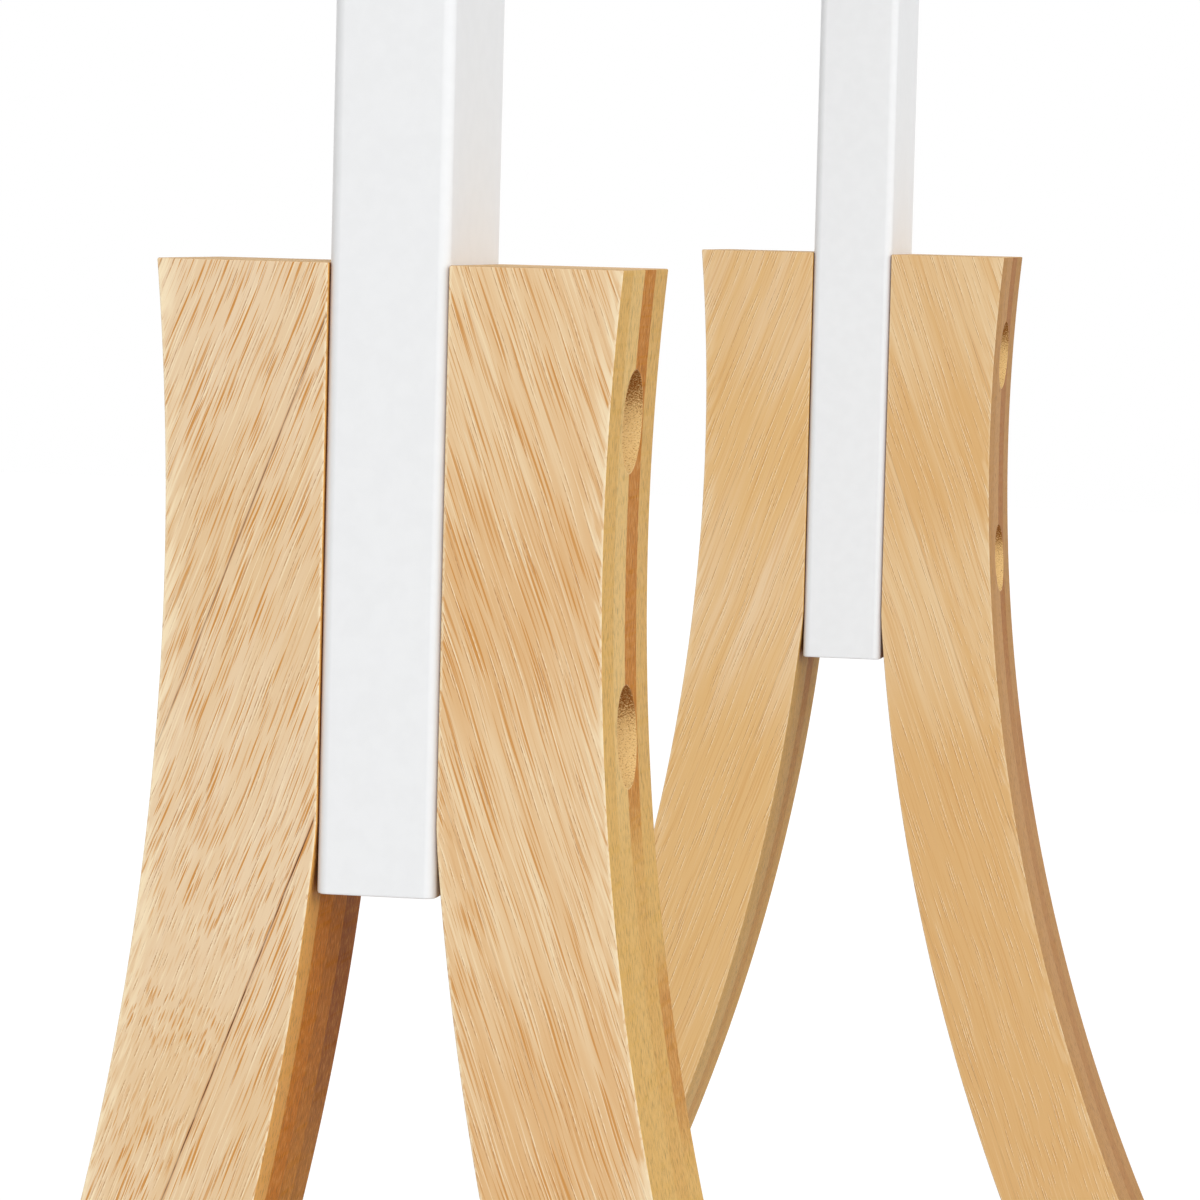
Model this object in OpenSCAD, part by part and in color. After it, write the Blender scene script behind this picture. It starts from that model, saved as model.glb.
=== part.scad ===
// Free-standing towel stand: two white steel uprights joined by three towel rails.
// Each upright is clamped between a front and a back leg of laminated bamboo.
// X runs along the rails, -Y is the front, Z is up, and the origin is on the floor at the middle.

/* [Overall] */
// Distance between the centre lines of the two uprights
upright_pitch = 515; // [400:1:700]
// Height of the upper end of the upright tubes above the floor
stand_h = 850; // [820:1:1100]
// Height of the lower end of the upright tubes above the floor
upright_foot_z = 265; // [240:1:280]

/* [Uprights] */
// Size of the rectangular tube from front to back
tube_w = 20; // [20:0.5:40]
// Size of the rectangular tube along the rails
tube_d = 40; // [30:1:50]
// Wall of the rectangular tube
tube_wall = 1.2; // [0.8:0.1:2]
// Outside corner radius of the rectangular tube
tube_corner_r = 2; // [1.2:0.1:2]
// Length of the plastic plugs inside the tube
plug_len = 12; // [6:1:16]
// Wall of the hollow plugs
plug_wall = 2; // [1:0.1:3]
// Thickness of the head of the top plug, which covers the end of the tube
plug_head_h = 2; // [1:0.1:5]
// How far the bottom plug sits up inside the tube
plug_inset = 0.5; // [0:0.1:3]

/* [Legs] */
// Width of the curved band that a leg is cut to
leg_w = 28.5; // [26:0.5:34]
// Depth planed off the inner edge, where the leg seats on the upright
seat_cut = 2; // [1:0.1:3]
// How far a leg reaches up beside the upright
leg_overlap = 103; // [95:1:120]
// Radius of the hollow outer edge of a leg
outer_r = 490; // [440:1:600]
// Height of a leg's waist, where its edges run straight up, above the lower end of the upright
waist_rise = 56; // [40:1:60]
// Length trimmed off the pointed toe
toe_cut = 3; // [1:0.5:6]

/* [Rails] */
// Outside diameter of a towel rail
rail_od = 16; // [12:0.5:16]
// Wall of a towel rail
rail_wall = 1; // [0.8:0.1:1.5]
// Distance between the centre lines of two neighbouring rails
rail_step = 150; // [100:1:170]
// Distance from the upper end of the uprights down to the top rail's centre line
rail_top_drop = 25; // [22:1:60]
// Length of the threaded insert in each end of a rail
insert_len = 18; // [16:1:30]

/* [Fasteners] */
// Diameter of the bolts' shanks
bolt_d = 6; // [5:0.5:7]
// Width across the flats of the hexagon sockets
socket_af = 4; // [3:0.5:5]
// Depth of the hexagon sockets
socket_depth = 1.8; // [1:0.1:2.2]
// Height of the lower leg bolt above the lower end of the upright
leg_bolt_rise = 26; // [20:0.5:34]
// Distance between the two leg bolts of an upright
leg_bolt_step = 52; // [30:1:55]
// Diameter of the flat heads of the leg bolts and sleeve nuts
leg_head_d = 15; // [12:0.5:15.5]
// Height of those heads
leg_head_h = 3; // [2.4:0.1:4]
// Diameter of the recess that sinks such a head in a leg
recess_d = 17; // [16:0.5:19]
// Depth of that recess at the waist
recess_depth = 10; // [6:0.5:13]
// Outside diameter of a sleeve nut's sleeve
sleeve_d = 8.5; // [8:0.1:11]
// Length of a sleeve nut's sleeve
sleeve_len = 12; // [8:0.5:12.5]
// Free thread left between the end of a leg bolt and the closed end of its sleeve nut
bolt_end_gap = 3; // [2:0.5:6]
// Diameter of a rail bolt's head
rail_head_d = 12; // [10:0.5:16]
// Height of a rail bolt's head
rail_head_h = 3; // [2.4:0.1:4]
// Length of rail bolt inside the threaded insert
rail_bolt_grip = 15; // [8:0.5:16]

/* [Feet] */
// Diameter of the rubber foot pads
pad_d = 24; // [18:1:28]
// Height of the foot pads
pad_h = 3; // [2.6:0.1:6]
// Rubber left between the pad screw's head and the leg
pad_web = 1.2; // [0.8:0.1:1.6]
// Diameter of a pad screw's shank
pad_screw_d = 3.5; // [3:0.1:4.5]
// Length of a pad screw below its head
pad_screw_len = 13; // [8:0.5:15]
// Diameter of a pad screw's head
pad_head_d = 7; // [6:0.1:9]
// Height of a pad screw's head
pad_head_h = 1.3; // [0.9:0.1:1.6]

/* [Fits] */
// Clearance all round a shank or sleeve in its drilled hole
hole_play = 0.25; // [0.1:0.05:0.5]
// Clearance all round a thread in its nut, insert or pilot hole
thread_play = 0.05; // [0.02:0.01:0.1]
// Clearance all round what is pushed into a tube
push_play = 0.05; // [0.02:0.01:0.2]
// Clearance all round a pad screw's head in its pad
head_play = 0.4; // [0.2:0.1:1]
// Softening of the rims of bolt heads and pads
rim = 0.6; // [0.2:0.1:0.8]

/* [Hidden] */

left = -1;
right = 1;
front = -1;
back = 1;
$fn = 64;
arc_fn = 360;
// Extra depth of cutters past a surface
cut = 1;

white = [0.93, 0.93, 0.92];
bamboo = [0.87, 0.72, 0.50];
zinc = [0.72, 0.73, 0.75];
rubber = [0.16, 0.16, 0.17];

// Heights of the rails and of the leg bolts above the floor
rail_z = [for (i = [0:2]) stand_h - rail_top_drop - i * rail_step];
leg_bolt_z = [for (i = [0:1]) upright_foot_z + leg_bolt_rise + i * leg_bolt_step];

// The board is as thick as the tube is deep, so that their end faces lie flush
leg_t = tube_d;

// A leg's edges are arcs about one centre, level with the waist and outside the stand
waist_z = upright_foot_z + waist_rise;
inner_r = outer_r + leg_w;
arc_y = tube_w / 2 - seat_cut + inner_r;
leg_top_z = upright_foot_z + leg_overlap;
toe_y = edge_y(outer_r, pad_h) - toe_cut;
heel_y = edge_y(inner_r, pad_h);
foot_y = (toe_y + heel_y) / 2;

// The floor of the head recesses is the seat of the leg bolts and sleeve nuts
seat_y = arc_y - outer_r - recess_depth;
leg_bolt_len = 2 * seat_y - bolt_end_gap;
rail_bolt_len = tube_d + rail_bolt_grip;
rail_len = upright_pitch - tube_d;

// Distance of a leg's edge from the middle of the stand, at a height, on an arc of radius r
function edge_y(r, z) = arc_y - sqrt(r * r - (waist_z - z) * (waist_z - z));

module rounded_rect(size_x, size_y, r) {
    square([size_x - 2 * r, size_y], center = true);
    square([size_x, size_y - 2 * r], center = true);
    for (x = [-1, 1], y = [-1, 1])
        translate([x * (size_x / 2 - r), y * (size_y / 2 - r)]) circle(r);
}

// Section of the upright tube, drawn in from its outside by a distance
module tube_section(inset) {
    rounded_rect(tube_d - 2 * inset, tube_w - 2 * inset, max(tube_corner_r - inset, 0.4));
}

module at_upright(side) {
    translate([side * upright_pitch / 2, 0, 0]) children();
}

// Cylinder along +Y from the origin
module y_cylinder(d, h) {
    rotate([-90, 0, 0]) cylinder(d = d, h = h);
}

// Bolt with its shank along +Z from the origin and its socket head below
module socket_bolt(head_d, head_h, shank_len) {
    difference() {
        union() {
            translate([0, 0, -head_h]) cylinder(d1 = head_d - 2 * rim, d2 = head_d, h = rim);
            translate([0, 0, rim - head_h]) cylinder(d = head_d, h = head_h - rim);
            cylinder(d = bolt_d, h = shank_len);
        }
        hex_socket(head_h);
    }
}

// Cutter of the hexagon socket in a head that lies below the origin
module hex_socket(head_h) {
    translate([0, 0, -head_h - cut])
        cylinder(d = socket_af / cos(30), h = socket_depth + cut, $fn = 6);
}

module upright(side) {
    color(white) at_upright(side) difference() {
        translate([0, 0, upright_foot_z])
            linear_extrude(stand_h - upright_foot_z) difference() {
                tube_section(0);
                tube_section(tube_wall);
            }
        for (z = leg_bolt_z) translate([0, -tube_w / 2 - cut, z])
            y_cylinder(bolt_d + 2 * hole_play, tube_w + 2 * cut);
        for (z = rail_z) translate([-tube_d / 2 - cut, 0, z])
            rotate([0, 90, 0]) cylinder(d = bolt_d + 2 * hole_play, h = tube_d + 2 * cut);
    }
}

// Outline of a back leg in the Y-Z plane, with its flat seat on the upright above the waist
module leg_outline() {
    intersection() {
        translate([tube_w / 2, pad_h]) square([toe_y - tube_w / 2, leg_top_z - pad_h]);
        difference() {
            union() {
                translate([arc_y, waist_z]) circle(inner_r, $fn = arc_fn);
                translate([tube_w / 2, waist_z]) square([leg_w, leg_top_z - waist_z]);
            }
            translate([arc_y, waist_z]) circle(outer_r, $fn = arc_fn);
        }
    }
}

// Back leg of one upright, with through holes of the given diameter
module leg(side, hole_d) {
    color(bamboo) at_upright(side) difference() {
        rotate([90, 0, 90]) linear_extrude(leg_t, center = true) leg_outline();
        for (z = leg_bolt_z) {
            translate([0, tube_w / 2 - cut, z]) y_cylinder(hole_d, leg_w + 2 * cut);
            translate([0, seat_y, z]) y_cylinder(recess_d, leg_w);
        }
        translate([0, foot_y, pad_h - cut])
            cylinder(d = pad_screw_d + 2 * thread_play, h = pad_screw_len - pad_web + 2 * cut);
    }
}

module leg_front(side) {
    mirror([0, 1, 0]) leg(side, bolt_d + 2 * hole_play);
}

module leg_back(side) {
    leg(side, sleeve_d + 2 * hole_play);
}

module rail(z) {
    color(white) translate([-rail_len / 2, 0, z]) rotate([0, 90, 0])
        linear_extrude(rail_len) difference() {
            circle(d = rail_od);
            circle(d = rail_od - 2 * rail_wall);
        }
}

// Threaded inserts in the rail ends at one upright
module rail_inserts(side) {
    color(zinc) for (z = rail_z)
        translate([side * rail_len / 2, 0, z]) rotate([0, -side * 90, 0])
            linear_extrude(insert_len) difference() {
                circle(d = rail_od - 2 * rail_wall - 2 * push_play);
                circle(d = bolt_d + 2 * thread_play);
            }
}

module rail_bolts(side) {
    color(zinc) for (z = rail_z)
        translate([side * (upright_pitch + tube_d) / 2, 0, z]) rotate([0, -side * 90, 0])
            socket_bolt(rail_head_d, rail_head_h, rail_bolt_len);
}

module leg_bolts(side) {
    color(zinc) at_upright(side) for (z = leg_bolt_z)
        translate([0, -seat_y, z]) rotate([-90, 0, 0])
            socket_bolt(leg_head_d, leg_head_h, leg_bolt_len);
}

// Sleeve nuts that the leg bolts screw into from the back leg's recesses
module sleeve_nuts(side) {
    color(zinc) at_upright(side) for (z = leg_bolt_z)
        translate([0, seat_y, z]) rotate([90, 0, 0]) difference() {
            union() {
                translate([0, 0, -leg_head_h])
                    cylinder(d1 = leg_head_d - 2 * rim, d2 = leg_head_d, h = rim);
                translate([0, 0, rim - leg_head_h]) cylinder(d = leg_head_d, h = leg_head_h - rim);
                cylinder(d = sleeve_d, h = sleeve_len);
            }
            hex_socket(leg_head_h);
            cylinder(d = bolt_d + 2 * thread_play, h = sleeve_len + cut);
        }
}

// Hollow body of a plug, open at the top
module plug_body() {
    difference() {
        linear_extrude(plug_len) tube_section(tube_wall + push_play);
        translate([0, 0, plug_wall])
            linear_extrude(plug_len) tube_section(tube_wall + push_play + plug_wall);
    }
}

module top_plug(side) {
    color(white) at_upright(side) translate([0, 0, stand_h]) {
        linear_extrude(plug_head_h) tube_section(0);
        mirror([0, 0, 1]) plug_body();
    }
}

module bottom_plug(side) {
    color(white) at_upright(side) translate([0, 0, upright_foot_z + plug_inset]) plug_body();
}

module at_foot(side, facing) {
    translate([side * upright_pitch / 2, facing * foot_y, 0]) children();
}

module foot_pad(side, facing) {
    color(rubber) at_foot(side, facing) difference() {
        union() {
            cylinder(d1 = pad_d - 2 * rim, d2 = pad_d, h = rim);
            translate([0, 0, rim]) cylinder(d = pad_d, h = pad_h - rim);
        }
        translate([0, 0, -cut]) cylinder(d = pad_head_d + 2 * head_play, h = pad_h - pad_web + cut);
        cylinder(d = pad_screw_d + 2 * hole_play, h = pad_h + cut);
    }
}

// Screw that holds a foot pad, with its head sunk in the pad
module pad_screw(side, facing) {
    color(zinc) at_foot(side, facing) translate([0, 0, pad_h - pad_web]) {
        translate([0, 0, -pad_head_h]) cylinder(d = pad_head_d, h = pad_head_h);
        cylinder(d = pad_screw_d, h = pad_screw_len);
    }
}

upright(left);  // upright_left
upright(right);  // upright_right
leg_front(left);  // leg_front_left
leg_back(left);  // leg_back_left
leg_front(right);  // leg_front_right
leg_back(right);  // leg_back_right
rail(rail_z[0]);  // rail_top
rail(rail_z[1]);  // rail_middle
rail(rail_z[2]);  // rail_bottom
rail_inserts(left);  // rail_inserts_left
rail_inserts(right);  // rail_inserts_right
rail_bolts(left);  // rail_bolts_left
rail_bolts(right);  // rail_bolts_right
leg_bolts(left);  // leg_bolts_left
leg_bolts(right);  // leg_bolts_right
sleeve_nuts(left);  // sleeve_nuts_left
sleeve_nuts(right);  // sleeve_nuts_right
top_plug(left);  // top_plug_left
top_plug(right);  // top_plug_right
bottom_plug(left);  // bottom_plug_left
bottom_plug(right);  // bottom_plug_right
foot_pad(left, front);  // foot_pad_front_left
foot_pad(left, back);  // foot_pad_back_left
foot_pad(right, front);  // foot_pad_front_right
foot_pad(right, back);  // foot_pad_back_right
pad_screw(left, front);  // pad_screw_front_left
pad_screw(left, back);  // pad_screw_back_left
pad_screw(right, front);  // pad_screw_front_right
pad_screw(right, back);  // pad_screw_back_right
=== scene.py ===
# %% [markdown]
# # A towel stand of white steel and laminated bamboo
#
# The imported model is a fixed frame: every piece below goes where it says. The camera comes
# first, then the finishes, then the pieces from the large to the small, then the studio.

import math

import bmesh
import bpy
from mathutils import Matrix, Vector


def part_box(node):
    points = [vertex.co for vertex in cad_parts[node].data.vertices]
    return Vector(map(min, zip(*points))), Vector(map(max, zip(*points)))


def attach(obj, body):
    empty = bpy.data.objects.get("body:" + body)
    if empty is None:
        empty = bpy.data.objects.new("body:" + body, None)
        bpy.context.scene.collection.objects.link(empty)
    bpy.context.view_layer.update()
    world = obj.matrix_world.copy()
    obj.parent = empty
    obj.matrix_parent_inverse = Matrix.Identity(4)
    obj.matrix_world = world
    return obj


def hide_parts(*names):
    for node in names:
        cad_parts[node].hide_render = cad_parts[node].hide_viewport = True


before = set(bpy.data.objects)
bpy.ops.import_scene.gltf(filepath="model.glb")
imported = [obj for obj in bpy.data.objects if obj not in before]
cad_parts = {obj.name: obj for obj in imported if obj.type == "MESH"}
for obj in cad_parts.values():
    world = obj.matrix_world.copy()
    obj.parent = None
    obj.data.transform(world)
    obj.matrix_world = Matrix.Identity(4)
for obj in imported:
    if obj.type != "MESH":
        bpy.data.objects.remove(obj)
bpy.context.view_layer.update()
bpy.context.scene.view_settings.view_transform = "Standard"
mm = 0.001
print("frame:", len(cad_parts), "nodes")

# %% [markdown]
# ## Sizes
#
# Sizes are read off the frame wherever a box can tell them, so the dressed pieces can't
# drift away from it. What a box can't tell, such as the radius of an arc, is named here.

# %% Sizes of the stand
SIDES = {"left": -1, "right": 1}
FACINGS = {"front": -1, "back": 1}

tube_low, tube_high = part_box("upright_left")
tube_d = tube_high.x - tube_low.x
tube_w = tube_high.y - tube_low.y
tube_foot_z = tube_low.z
tube_top_z = tube_high.z
end_face_x = tube_low.x
upright_x = -(tube_low.x + tube_high.x) / 2

leg_low, leg_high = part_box("leg_back_left")
leg_t = leg_high.x - leg_low.x
toe_y = leg_high.y
leg_foot_z = leg_low.z
leg_top_z = leg_high.z

leg_w = 28.5 * mm
seat_cut = 2 * mm
outer_r = 490 * mm
inner_r = outer_r + leg_w
waist_z = tube_foot_z + 56 * mm
arc_y = tube_w / 2 - seat_cut + inner_r
print("tube %.0f x %.0f mm, leg %.0f mm thick" % (tube_d / mm, tube_w / mm, leg_t / mm))

# %% [markdown]
# ## The camera
#
# The photograph is a close-up of the lower ends, taken with a long lens from beyond the left
# end of the stand. The camera stands low and a little to the front, looks slightly down, and
# is rolled by a degree and a half. Its place is counted from the near upright's lower end.

# %% Camera
camera_back = 865.9 * mm
camera_aside = 202.6 * mm
camera_rise = 112.8 * mm
heading = math.radians(10.88)
look_down = math.radians(4.08)
roll = math.radians(1.45)


def add(name, data):
    """Makes an object and puts it in the scene."""
    made = bpy.data.objects.new(name, data)
    bpy.context.scene.collection.objects.link(made)
    return made


lens = bpy.data.cameras.new("close_up")
lens.sensor_width = 36
lens.lens = 164.7
lens.clip_start = 0.01
camera = add("close_up", lens)
stance = Matrix.Translation((end_face_x - camera_back, -camera_aside, tube_foot_z + camera_rise))
aim = Matrix.Rotation(heading - math.pi / 2, 4, "Z") @ Matrix.Rotation(math.pi / 2 - look_down, 4, "X")
camera.matrix_world = stance @ aim @ Matrix.Rotation(roll, 4, "Z")
bpy.context.scene.camera = camera
print("camera at", [round(v, 3) for v in camera.location])

# %% [markdown]
# ## Writing node trees as formulas
#
# A material and a Geometry Nodes tree are both graphs of sockets. Adding each node by hand
# takes four lines and hides the formula, so one small class wraps a socket and lets Python's
# own operators add the Math nodes.

# %% Sockets that can be added and multiplied
def operation(name):
    """Makes a method that puts its socket and any further values into one Math node."""
    def method(self, *values):
        return self.math(name, self, *values)
    return method


class Wire:
    """An output socket that takes part in formulas."""

    def __init__(self, graph, socket):
        self.graph = graph
        self.socket = socket

    def math(self, name, *values):
        return self.graph.node("ShaderNodeMath", {"operation": name}, dict(enumerate(values)))

    __add__ = __radd__ = operation("ADD")
    __mul__ = __rmul__ = operation("MULTIPLY")
    __sub__ = operation("SUBTRACT")
    __truediv__ = operation("DIVIDE")
    __abs__ = operation("ABSOLUTE")
    at_least = operation("MAXIMUM")
    at_most = operation("MINIMUM")
    root = operation("SQRT")
    floor = operation("FLOOR")
    fraction = operation("FRACT")
    sign = operation("SIGN")
    tanh = operation("TANH")

    def __rsub__(self, other):
        return self.math("SUBTRACT", other, self)

    def wave(self):
        """A cosine that comes round again at every whole number."""
        return self.math("COSINE", self * math.tau)

    def step(self, start, end):
        """A smooth ramp from 0 at start to 1 at end, where end may be the smaller one."""
        return self.graph.node("ShaderNodeMapRange", {"interpolation_type": "SMOOTHSTEP"},
                               {"Value": self, "From Min": start, "From Max": end})

# %% [markdown]
# Every other node comes from one method of the tree's own class. It sets the node's settings
# first, then fills or links its sockets, and hands back one output.

# %% Adding nodes
class Graph:
    """A node tree with a short way to add any node."""

    def __init__(self, tree):
        self.tree = tree

    def node(self, kind, settings=None, inputs=None, output=0):
        """Settings come first. A list of links goes to a socket that takes several."""
        made = self.tree.nodes.new(kind)
        for name, value in (settings or {}).items():
            if name == "stops":
                self.fill_ramp(made.color_ramp, value)
            else:
                setattr(made, name, value)
        for key, value in (inputs or {}).items():
            for one in value if isinstance(value, list) else [value]:
                if isinstance(one, Wire):
                    self.tree.links.new(one.socket, made.inputs[key])
                else:
                    made.inputs[key].default_value = one
        return Wire(self, made.outputs[output])

    def fill_ramp(self, ramp, stops):
        ramp.interpolation = "CONSTANT"
        for place, colour in stops[2:]:
            ramp.elements.new(place)
        for element, (place, colour) in zip(ramp.elements, stops):
            element.position = place
            element.color = colour

    def split(self, vector):
        """The three parts of a vector."""
        first = self.node("ShaderNodeSeparateXYZ", inputs={0: vector})
        return [Wire(self, socket) for socket in first.socket.node.outputs]

    def vector(self, x, y, z):
        return self.node("ShaderNodeCombineXYZ", inputs={0: x, 1: y, 2: z})

    def blend(self, amount, first, second):
        """A colour between two colours."""
        return self.node("ShaderNodeMix", {"data_type": "RGBA"},
                         {0: amount, 6: first, 7: second}, output=2)


def shade(red, green, blue):
    """A colour as it shows on a screen, 0 to 255, made linear for a shader."""
    parts = [part / 255 for part in (red, green, blue)]
    linear = [p / 12.92 if p < 0.04045 else ((p + 0.055) / 1.055) ** 2.4 for p in parts]
    return (*linear, 1.0)

# %% [markdown]
# ## A material's skeleton
#
# Every finish here ends in one Principled shader. What is the same all over is set on the
# shader's own sockets, and only colour, roughness and the normal are fed by nodes. Patterns
# are worked out in millimetres, because that is how one sees and measures a grain.

# %% Material helper
class Finish(Graph):
    """A new material with a Principled shader, ready for its pattern."""

    def __init__(self, name, values):
        self.material = bpy.data.materials.new(name)
        self.material.use_nodes = True
        super().__init__(self.material.node_tree)
        self.shader = self.tree.nodes["Principled BSDF"]
        for key, value in values.items():
            self.shader.inputs[key].default_value = value

    def feed(self, socket, wire):
        self.tree.links.new(wire.socket, self.shader.inputs[socket])

    def place(self, location=(0, 0, 0), rotation=(0, 0, 0)):
        """Object coordinates in millimetres, counted along moved and turned axes."""
        coordinates = self.node("ShaderNodeTexCoord", output="Object")
        return self.split(self.node("ShaderNodeMapping", {"vector_type": "TEXTURE"}, {
            "Vector": coordinates, "Location": location, "Rotation": rotation,
            "Scale": (mm, mm, mm)}))

    def noise(self, x, y, z, detail=2.0, rough=0.5):
        return self.node("ShaderNodeTexNoise", None, {
            "Vector": self.vector(x, y, z), "Scale": 1.0, "Detail": detail, "Roughness": rough})

    def chances(self, x, y, z):
        """Three random numbers for each whole x, y and z."""
        return self.split(self.node("ShaderNodeTexWhiteNoise", None, {
            "Vector": self.vector(x, y, z)}, output="Color"))

    def relief(self, height, depth):
        """Surface relief: height goes from 0 to 1 and depth is in millimetres."""
        self.feed("Normal", self.node("ShaderNodeBump", None, {
            "Height": height, "Distance": depth * mm, "Strength": 1.0}))

# %% [markdown]
# ## Powder-coated steel
#
# Powder paint melts into a thick, even skin with a faint orange-peel surface. Two sizes of
# noise make that skin: a slow swell of a few millimetres and a fine grain on top of it.

# %% Powder-coated steel
coat_white = (240, 241, 242)
coat_shadow = (238, 239, 240)
coat_swell = 3.0
coat_grain = 0.5


def powder_coated_steel():
    steel = Finish("powder_coated_steel", {"Specular IOR Level": 0.4})
    x, y, z = steel.place()
    swell = steel.noise(x / coat_swell, y / coat_swell, z / coat_swell)
    grain = steel.noise(x / coat_grain, y / coat_grain, z / coat_grain)
    steel.feed("Base Color", steel.blend(swell.step(0.3, 0.7), shade(*coat_shadow), shade(*coat_white)))
    steel.feed("Roughness", 0.42 + grain * 0.08)
    steel.relief(swell * 0.4 + grain * 0.6, 0.004)
    return steel.material


powder_coat = powder_coated_steel()
print("made", powder_coat.name)

# %% [markdown]
# ## Laminated bamboo
#
# The legs are sawn out of a board that is pressed from four plies, each of them a row of
# split bamboo strips. A solid pattern is right here, because it gives a face, an edge and
# the wall of a drilled recess each their own cut through the same fibres. The grain leans,
# so a Mapping node turns the pattern, which then counts three lengths: depth from the
# board's end face, across the strips and along the grain.
#
# Every strip gets random offsets of its own, so that nothing runs on from one strip to the
# next. A stem has a knot about every 26 cm, where the fibres shorten and crowd towards it.

# %% A place in the board
strip_w = 28.9
ply_t = 10.025
ply_rim = 0.05
knot_gap = 260.0


class Board(Finish):
    """A finish that knows in which ply and strip a point lies, and how far along them."""

    def __init__(self, name, board_x, lean, strip_start, knot_along):
        super().__init__(name, {"Specular IOR Level": 0.05})
        self.depth, across, along = self.place((board_x, 0, 0), (math.radians(lean), 0, 0))
        self.across, self.along = across, along
        _, self.y, self.z = self.place()
        self.up_z = self.z - waist_z / mm
        ply = ((self.depth + ply_rim) / ply_t).floor()
        self.strips = (across - strip_start) / strip_w + ply * 0.37
        strip = self.strips.floor()
        chance_a, chance_b, self.strip_chance = self.chances(strip, ply, knot_along)
        knots = (along - knot_along) / knot_gap + strip * 0.36 + strip * strip * 0.81 + ply * 0.61 + 0.5
        self.from_knot = (knots.fraction() - 0.5) * knot_gap
        self.wander = self.noise(along / 45, strip * 7, ply * 7)
        self.s = across + chance_a * 90 + self.wander * 2
        self.t = along + (self.from_knot / 20).tanh() * 55 + knots.floor() * 110 + chance_b * 900

# %% [markdown]
# Bamboo has no year rings. Its fibre bundles show as dashes where the saw meets them at a
# slant and as long streaks where it follows them. Each stroke is a lens in a cell of its own:
# the cells stand in lanes that are shifted at random, and so is the stroke within its cell,
# which hides the grid. Some strokes are left out, and their ends taper.

# %% Fibre bundles
def bundles(wood, seed, pitch, width, length, aside=0.0):
    """Strokes with tapered ends, one in each cell of a grid with shifted lanes."""
    lane = (wood.s + aside) / pitch
    shift, _, _ = wood.chances(lane.floor(), seed, 0.0)
    row = wood.t / length + shift * 7
    swerve, short, strong = wood.chances(lane.floor(), row.floor(), seed)
    u = (lane.fraction() - 0.5 + (swerve - 0.5) * 0.4) * pitch
    v = (row.fraction() - 0.5) * (2.0 + short * 2)
    half = (1 - v * v).at_least(0.0) * (0.6 + strong * 0.4) * (width / 2)
    return (half - abs(u)).step(0.0, 0.06) * strong.step(0.1, 0.7)

# %% [markdown]
# The colour is built up in the order in which one would paint it. First comes the ground,
# in slow bands a few millimetres wide and with a tone of its own for each strip. Pores are
# dotted hairlines that run on for centimetres, each with a painted highlight on the lip beside
# it. The bundles come last: crowded here and missing there, with paler streaks of tissue
# between them.

# %% Ground, pores and strokes
bundle_brown = (206, 142, 68)
pore_brown = (160, 96, 38)
# Pale fibre: the real paler tissue and torn fibres, and also the colour of painted highlights on pore
# lips and arrises.
pale_fibre_and_highlight = (252, 234, 198)
dense_gap = 88.0
dense_start = 290.0


def ground(wood, faces, deepened):
    """The ground's colour and tone. Faces are its pale and its deep tone, and deepened is
    how far the deep one takes over lower down."""
    band = wood.noise(wood.s / 3.4, wood.t / 220, wood.depth / 3.4, detail=4.0, rough=0.55)
    dense = ((wood.along - dense_start) / dense_gap + wood.wander * 0.3 - 0.15).wave() * 0.5 + 0.5
    low_down = wood.up_z.step(-40.0, -110.0) * deepened
    tone = (band * 1.6 + dense * dense * 0.36 + wood.strip_chance * 0.3 - 0.47 + low_down).step(0.0, 1.0)
    pale, deep = faces
    return wood.blend(tone, shade(*pale), shade(*deep)), tone


def pores(wood, colour):
    """The colour with pores, how strong they are, and the specks that dot them."""
    speck = wood.noise(wood.s / 0.4, wood.t / 1.2, wood.depth / 0.4)
    dotted = 0.35 + speck.step(0.4, 0.56) * 0.65
    # Painted highlight: a pale line on the lip beside each pore, as if light caught its edge.
    painted_lip_highlight = bundles(wood, 3.0, 0.62, 0.24, 20.0, aside=0.2) * dotted
    colour = wood.blend(painted_lip_highlight * 0.7, colour, shade(*pale_fibre_and_highlight))
    pore = bundles(wood, 3.0, 0.62, 0.24, 20.0) * dotted
    return wood.blend(pore * 0.6, colour, shade(*pore_brown)), pore, speck


def strokes(wood, colour, width, length, share):
    """The colour with fibre bundles, and how strong they are. Share is how far they show."""
    streaks = bundles(wood, 4.0, width * 2.4, width * 0.8, length * 1.5)
    colour = wood.blend(streaks * 0.45 * share, colour, shade(*pale_fibre_and_highlight))
    at_knot = abs(wood.from_knot).step(7.0, 2.0)
    bare = abs(wood.from_knot).step(22.0, 9.0) * (1 - at_knot)
    crowd = wood.noise(wood.s / 3, wood.t / length, wood.depth / 3).step(0.3, 0.55)
    wide = bundles(wood, 1.0, width * 1.7, width, length)
    fine = bundles(wood, 2.0, width * 1.2, width * 0.6, length * 0.7)
    strength = wide.at_least(fine) * (0.3 + crowd * 0.7) * (1 - bare * 0.75) * share
    return wood.blend(strength, colour, shade(*bundle_brown)), strength

# %% [markdown]
# Two strips meet in a joint: a broken dark glue line with a tinted border, tight at first and
# fainter at the next ones. Where an arris was eased, a pale ragged line is painted: partly
# the paler sanded wood, partly a painted highlight where the rounded edge meets the light.
# Along the hollow outer edge the cutter scuffed the face.

# %% Joints and arrises
glue_brown = (70, 34, 12)
tinted_glue = (206, 132, 66)


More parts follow.
